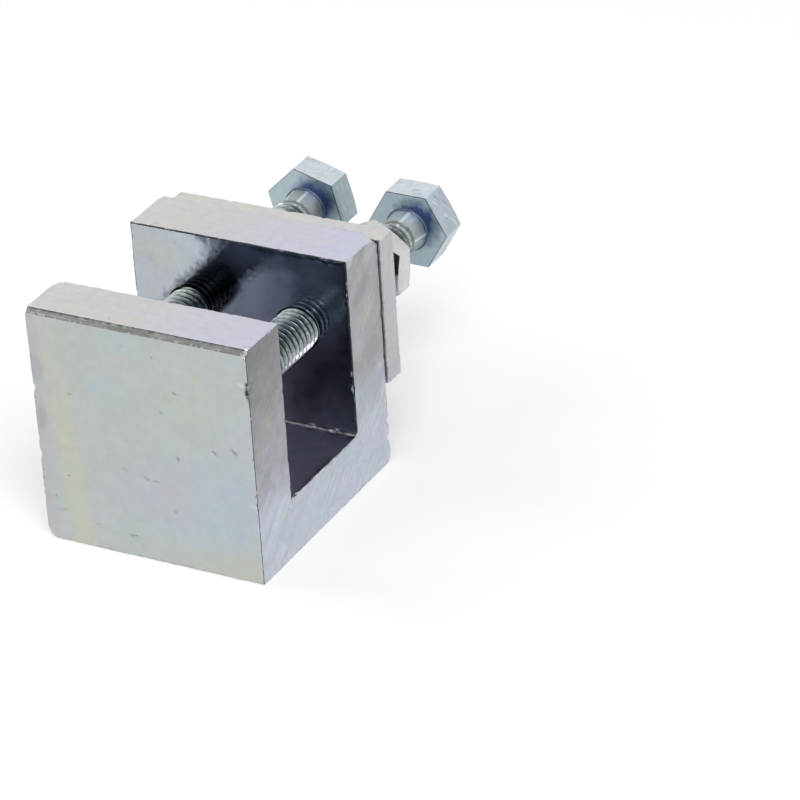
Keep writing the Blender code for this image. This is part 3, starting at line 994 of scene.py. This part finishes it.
def worn_block(block):
    """Wear the block, break two of its corners off and knock its edges in."""
    at = block_places()
    chips = [chip_plane((at.right, at.back, at.top), CORNER_CHIP, 1),
             chip_plane((at.right, at.back, 0.0), FOOT_CHIP, -1)]

    def knock(vertex, place):
        for point, outward in chips:
            beyond = (vertex.co - point).dot(outward)
            if beyond > 0.0:
                lump = CHIP_LUMP_DEPTH * noise.noise(place / CHIP_LUMP_LENGTH)
                vertex.co -= outward * (beyond * CHIP_SHARE + lump * min(1.0, beyond / CHIP_BORDER))
        for centre, radius, push in KNOCKS:
            share = (place - Vector(centre) * MM).length / (radius * MM)
            if share < 1.0:
                vertex.co += Vector(push) * MM * (1.0 - share * share) ** 2

    wear(block, lambda place: edge_distance(place, at), BLOCK_EDGE, knock)


def edge_wear(place):
    """How far an edge is worn in at a place: a wavy line with sharper nicks."""
    wave = EDGE_WAVE_DEPTH * noise.noise(place / EDGE_WAVE_LENGTH)
    nick = max(0.0, noise.noise(place / NICK_LENGTH + NICK_SHIFT) - NICK_THRESHOLD)
    return wave + NICK_DEPTH * nick


def chip_plane(corner, size, up):
    """A point of the plane that cuts a corner off by three lengths, and the way it looks."""
    outward = Vector((1.0 / size.x, 1.0 / size.y, up / size.z)).normalized()
    return Vector(corner) - Vector((size.x, 0.0, 0.0)), outward


# Knocks on the block: centre, radius and how far the surface is pushed there, in millimetres
KNOCKS = (
    ((15.7, -16.85, 27.7), 0.9, (-0.38, 0.36, 0.0)),
    ((15.7, -16.85, 28.7), 0.6, (0.10, -0.14, 0.0)),
    ((15.7, -16.85, 26.8), 0.6, (0.12, -0.10, 0.0)),
    ((15.7, -16.85, 11.1), 0.7, (-0.22, 0.22, 0.0)),
    ((15.7, -16.85, 11.9), 0.5, (0.10, -0.10, 0.0)),
    ((15.7, -16.85, 4.7), 0.6, (-0.18, 0.18, 0.0)),
    ((15.7, -16.5, 32.2), 1.0, (-0.20, 0.15, -0.20)),
    ((-15.7, -16.85, 0.0), 1.6, (0.30, 0.15, 0.35)),
    ((-15.7, -8.75, 32.7), 1.4, (0.25, -0.20, -0.15)),
    ((15.7, 16.85, 3.6), 0.8, (-0.25, -0.25, 0.0)),
    ((15.7, 16.85, 6.0), 0.6, (-0.22, -0.22, 0.0)),
    ((15.7, 8.55, 14.6), 0.6, (-0.05, 0.25, 0.0)),
    ((-15.7, -16.85, 21.5), 0.9, (0.20, 0.15, 0.0)),
    ((-15.7, -16.85, 12.0), 0.8, (0.16, 0.12, 0.0)),
)


def plate_look():
    """The plate: a warm pale top as painted light, greyer sides, faint saw lines."""
    look = metal("plate_zinc", 150.0)
    look.colour = look.blotched(4.0, 152.0, (0.49, 0.49, 0.48), (0.47, 0.485, 0.50), (0.485, 0.48, 0.53))
    warm = look.ramp(look.noise(4.0, 154.0), [(0.35, (0.62, 0.62, 0.575)), (0.65, (0.59, 0.58, 0.59))])
    # Painted light: faces that look up are lighter and warmer.
    look.paint(look.facing("Z"), 0.4, 0.9, 1.0, warm)
    look.tint(156.0, 0.6)
    look.mottle(158.0)
    look.brush((80.0, 0.0, 0.0), 0.28, 0.003, 0.06, 160.0, patch=4.0)
    look.scuff(162.0)
    look.wear_rim(164.0)
    look.roughness = look.uneven(2.5, 166.0, 0.27, 0.37)
    return look


def worn_plate(plate):
    """Make the plate's faces and edges a little uneven."""
    low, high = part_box("clamp_plate")
    centre, half = (low + high) / 2, (high - low) / 2

    def distance(place):
        return sorted(half[axis] - abs(place[axis] - centre[axis]) for axis in range(3))[1]

    wear(plate, distance, PLATE_EDGE)


def bright_zinc(name, shift, roughness, *colours, streaks=False, depth=0.006):
    """Blue-tinted bright zinc, with or without faint forging or drawing streaks along the axis."""
    look = metal(name, shift, depth)
    look.colour = look.blotched(2.4, shift + 2.0, *colours)
    look.tint(shift + 3.0, 0.4)
    look.mottle(shift + 4.0)
    if streaks:
        look.brush((0.0, 0.0, 0.0), 0.30, 0.006, 0.08, shift + 5.0, patch=2.5)
    look.roughness = look.uneven(0.8, shift + 6.0, roughness - 0.04, roughness + 0.06)
    return look


def thread_look(name, axis_x, shift):
    """The thread: bright crests, dark greenish painted shade in the roots, a painted dark reflection along
    the middle and painted black shade on the back flanks inside the slot.
    """
    look = bright_zinc(name, shift, 0.20, (0.60, 0.65, 0.64), (0.54, 0.62, 0.63), (0.60, 0.65, 0.68))
    crest = look.wobbled(look.attribute("crest"), 0.7, 0.5, shift + 8.0)
    # Painted shade: the roots of the thread are near black.
    look.paint(crest, 0.90, 0.15, 1.0, (0.07, 0.08, 0.08))
    # Painted dark reflection in a band along the middle of the thread.
    centre = 0.74 * axis_x - 0.67 * SCREW_AXIS_HEIGHT / MM
    across = look.along((0.74, 0.0, -0.67), 0.6, 1.2, shift + 9.0)
    ragged = look.between(look.noise(0.45, shift + 11.0, 4.0), 0.35, 0.6, 0.5, 0.95)
    dull = look.times(look.within(across, centre - 1.6, centre + 2.0, 0.7), ragged)
    look.lay(dull, (0.14, 0.17, 0.165))
    # Painted shade: the flanks that face back inside the slot are near black.
    behind = look.times(look.between(look.facing("Y"), 0.05, 0.35, 0.0, 0.9),
                        look.between(look.along(BACK), DARK_THREAD_STARTS, DARK_THREAD_FULL))
    look.lay(behind, (0.012, 0.015, 0.025))
    return look


def neck_look(name, shift):
    """The neck: grey-blue streaks, painted highlights on the forging seams, a dark ring near the thread and
    painted shade where it meets the head.
    """
    look = bright_zinc(name, shift, 0.46, (0.34, 0.39, 0.39), (0.44, 0.47, 0.47), (0.36, 0.41, 0.42),
                       streaks=True)
    # Painted highlight along the forging seams.
    look.paint(look.attribute("seam"), 0.25, 0.7, 0.9, (0.72, 0.76, 0.77))
    ring = look.wobbled(look.attribute("neck"), 0.6, 0.12, shift + 8.0)
    look.lay(look.within(ring, 0.12, 0.24, 0.05), (0.15, 0.17, 0.17))
    # Painted shade where the neck meets the head's underside.
    junction_shade = look.wobbled(look.attribute("neck"), 0.8, 0.06, shift + 7.0)
    look.paint(junction_shade, 0.88, 0.95, 1.0, (0.10, 0.13, 0.17))
    return look


def under_head_look(name, axis_x, pale, shift):
    """The head's underside: pale teal zinc, made lighter on the right screw and darker on the left by
    painted light and shade, with a painted navy reflection as a crescent beside the neck.
    """
    tones = [(0.66, 0.82, 0.86), (0.62, 0.80, 0.86), (0.68, 0.80, 0.90)]
    # Painted light and shade: each screw's underside is scaled by its own brightness factor.
    tones = [[pale * part for part in tone] for tone in tones]
    look = bright_zinc(name, shift, 0.30, *tones, depth=0.004)
    look.metallic = 0.8
    # Painted reflection: a navy crescent beside the neck.
    near = look.moved((axis_x + 1.5, 0.0, SCREW_AXIS_HEIGHT / MM + 1.3), (1.0, 1.0, 1.0))
    flat = look.add("ShaderNodeVectorMath", {0: near, 1: (1.0, 0.0, 1.0)}, operation='MULTIPLY')
    far = look.wobbled(look.length(flat.outputs[0]), 1.0, 0.9, shift + 7.0)
    look.paint(far, 4.1, 2.0, 1.0, (0.05, 0.09, 0.24))
    return look


def head_facet_look(name, dark, shift):
    """The head's sides: pale on top, teal-grey towards the side by painted shade, darker on the left screw
    than the right, with a few scribbled scratches.
    """
    look = bright_zinc(name, shift, 0.28, (0.57, 0.63, 0.67), (0.60, 0.65, 0.70), (0.58, 0.63, 0.72),
                       streaks=True, depth=0.010)
    # Painted shade: facets that face sideways are darkened by the screw's own factor.
    look.paint(look.facing("Z"), 0.85, 0.55, 1.0, look.multiplied(dark))
    scratch = look.noise(1.0, shift + 8.0, 5.0, (2.2, 0.35, 2.2), (20.0, 30.0, 40.0))
    patches = look.between(look.noise(1.6, shift + 9.0, 2.0), 0.45, 0.60)
    look.lay(look.times(look.between(scratch, 0.57, 0.66, 0.0, 0.6), patches), (0.16, 0.19, 0.21))
    look.paint(scratch, 0.40, 0.32, 0.4, (0.80, 0.84, 0.86))
    return look


def screw_looks(word, side, dark, pale, shift):
    """The screw's looks, in the order of its regions."""
    axis_x = side * SCREW_SPACING / 2 / MM
    return [
        thread_look(f"{word}_thread_zinc", axis_x, shift),
        neck_look(f"{word}_neck_zinc", shift + 10.0),
        under_head_look(f"{word}_head_under_zinc", axis_x, pale, shift + 20.0),
        head_facet_look(f"{word}_head_facet_zinc", dark, shift + 30.0),
        bright_zinc(f"{word}_head_end_zinc", shift + 40.0, 0.30,
                    (0.52, 0.56, 0.56), (0.54, 0.58, 0.60), (0.52, 0.56, 0.60)),
        # Painted shade: the rounded rim under the head is near black.
        bright_zinc(f"{word}_head_rim_zinc", shift + 50.0, 0.40,
                    (0.04, 0.05, 0.05), (0.06, 0.07, 0.08), (0.16, 0.18, 0.19)),
    ]


def nut_looks(word, shift):
    """The nut's facets, and its flat faces and bore; the face towards the plate has painted black shade
    above.
    """
    facet = bright_zinc(f"{word}_nut_facet_zinc", shift, 0.27, (0.56, 0.55, 0.56), (0.60, 0.61, 0.61),
                        (0.58, 0.60, 0.62), streaks=True, depth=0.010)
    face = bright_zinc(f"{word}_nut_face_zinc", shift + 10.0, 0.28, (0.48, 0.50, 0.50),
                       (0.52, 0.54, 0.55), (0.50, 0.53, 0.55))
    # Painted shade: the nut's face towards the plate is black above the axis and grey-green below.
    shade_above = face.between(face.along(UP, 1.0, 0.8, shift + 20.0), NUT_SHADE_STARTS, NUT_SHADE_FULL)
    front = face.mix(shade_above, (0.46, 0.49, 0.47), (0.025, 0.027, 0.028))
    face.paint(face.facing("Y"), -0.2, -0.6, 1.0, front)
    return [facet, face]


def mount(item, looks, body, node):
    """Dress a piece, let it ride on its body and stand for its node."""
    for look in looks:
        item.data.materials.append(look.finish())
    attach(item, body)
    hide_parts(node)


def build_object():
    """Make every piece, dress it and let it ride on its body."""
    at = block_places()
    block = make_block()
    for face in block.data.polygons:
        face.material_index = block_region(face, at)
    worn_block(block)
    shade_round(block, 32.0)
    mount(block, block_looks(), "block", "u_body")

    plate = make_plate()
    worn_plate(plate)
    shade_round(plate, 32.0)
    mount(plate, [plate_look()], "plate", "clamp_plate")

    # For each screw: side, word, head turn, nut turn, forging seam angles, the painted shade on the head's
    # sides and the painted light on the head's underside
    screws = ((-1, "left", LEFT_HEAD_TURN, LEFT_NUT_TURN, (76.0, 120.0), (0.51, 0.59, 0.58), 0.68),
              (1, "right", RIGHT_HEAD_TURN, RIGHT_NUT_TURN, (76.0, 0.0), (0.72, 0.78, 0.80), 1.10))
    for side, word, head_turn, nut_turn, seams, dark, pale in screws:
        seam_angles = [math.radians(seam) - head_turn for seam in seams]
        screw = make_screw(f"{word}_threaded_screw", f"{word}_screw", side, head_turn, seam_angles)
        looks = screw_looks(word, side, dark, pale, 200.0 + 30.0 * side)
        mount(screw, looks, f"{word}_set_screw", f"{word}_screw")
        nut = make_nut(f"{word}_thin_nut", f"{word}_nut", side, nut_turn)
        shade_round(nut, 30.0)
        mount(nut, nut_looks(word, 300.0 + 30.0 * side), f"{word}_lock_nut", f"{word}_nut")


def seen_rays(look):
    """1 for what the camera, metal and glass see, 0 for the light that falls on surfaces."""
    path = look.add("ShaderNodeLightPath").outputs
    seen = look.maths('MAXIMUM', path["Is Camera Ray"], path["Is Glossy Ray"])
    return look.maths('MAXIMUM', seen, path["Is Transmission Ray"])


def make_floor():
    """A plain pale floor that takes the object's shadow."""
    bpy.ops.mesh.primitive_plane_add(size=FLOOR_SIZE)
    floor = bpy.context.object
    floor.name = "floor"
    look = Look(bpy.data.materials.new("floor"))
    shader = look.nodes["Principled BSDF"]
    look.fill(shader, {"Base Color": FLOOR_COLOUR, "Roughness": 0.9, "Specular IOR Level": 0.0})
    glow = look.add("ShaderNodeEmission", {"Strength": look.times(seen_rays(look), FLOOR_GLOW)})
    total = look.add("ShaderNodeAddShader", {0: shader.outputs[0], 1: glow.outputs[0]})
    look.put(look.nodes["Material Output"].inputs["Surface"], total.outputs[0])
    floor.data.materials.append(look.owner)


def add_lamp(name, place, size, watts):
    """A soft square lamp aimed at the object."""
    data = bpy.data.lights.new(name, 'AREA')
    data.size = size
    data.energy = watts
    lamp = placed(name, data)
    lamp.location = place
    lamp.rotation_euler = (LAMP_TARGET - lamp.location).to_track_quat('-Z', 'Y').to_euler()


def make_world():
    """Even light for the surfaces, white for what the camera, metal and glass see."""
    world = bpy.data.worlds.new("studio")
    bpy.context.scene.world = world
    look = Look(world)
    strength = look.between(seen_rays(look), 0.0, 1.0, WORLD_LEVEL, 1.0)
    look.fill(look.nodes["Background"], {"Color": (1.0, 1.0, 1.0), "Strength": strength})


def make_camera():
    """The photograph's view."""
    data = bpy.data.cameras.new("camera")
    data.sensor_width = SENSOR_WIDTH
    data.lens = FOCAL_PIXELS / IMAGE_SIZE * SENSOR_WIDTH
    data.shift_x = 0.5 - CENTRE_X_PIXEL / IMAGE_SIZE
    data.shift_y = CENTRE_Y_PIXEL / IMAGE_SIZE - 0.5
    turn = Matrix.Rotation(CAMERA_AZIMUTH, 4, 'Z')
    turn = turn @ Matrix.Rotation(math.pi / 2 - CAMERA_ELEVATION, 4, 'X')
    turn = turn @ Matrix.Rotation(-CAMERA_ROLL, 4, 'Z')
    camera = placed("camera", data)
    camera.matrix_world = Matrix.Translation(CAMERA_PLACE) @ turn
    bpy.context.scene.camera = camera


build_object()
make_floor()
for lamp in LAMPS:
    add_lamp(*lamp)
make_world()
make_camera()
bpy.context.scene.view_settings.view_transform = 'Standard'
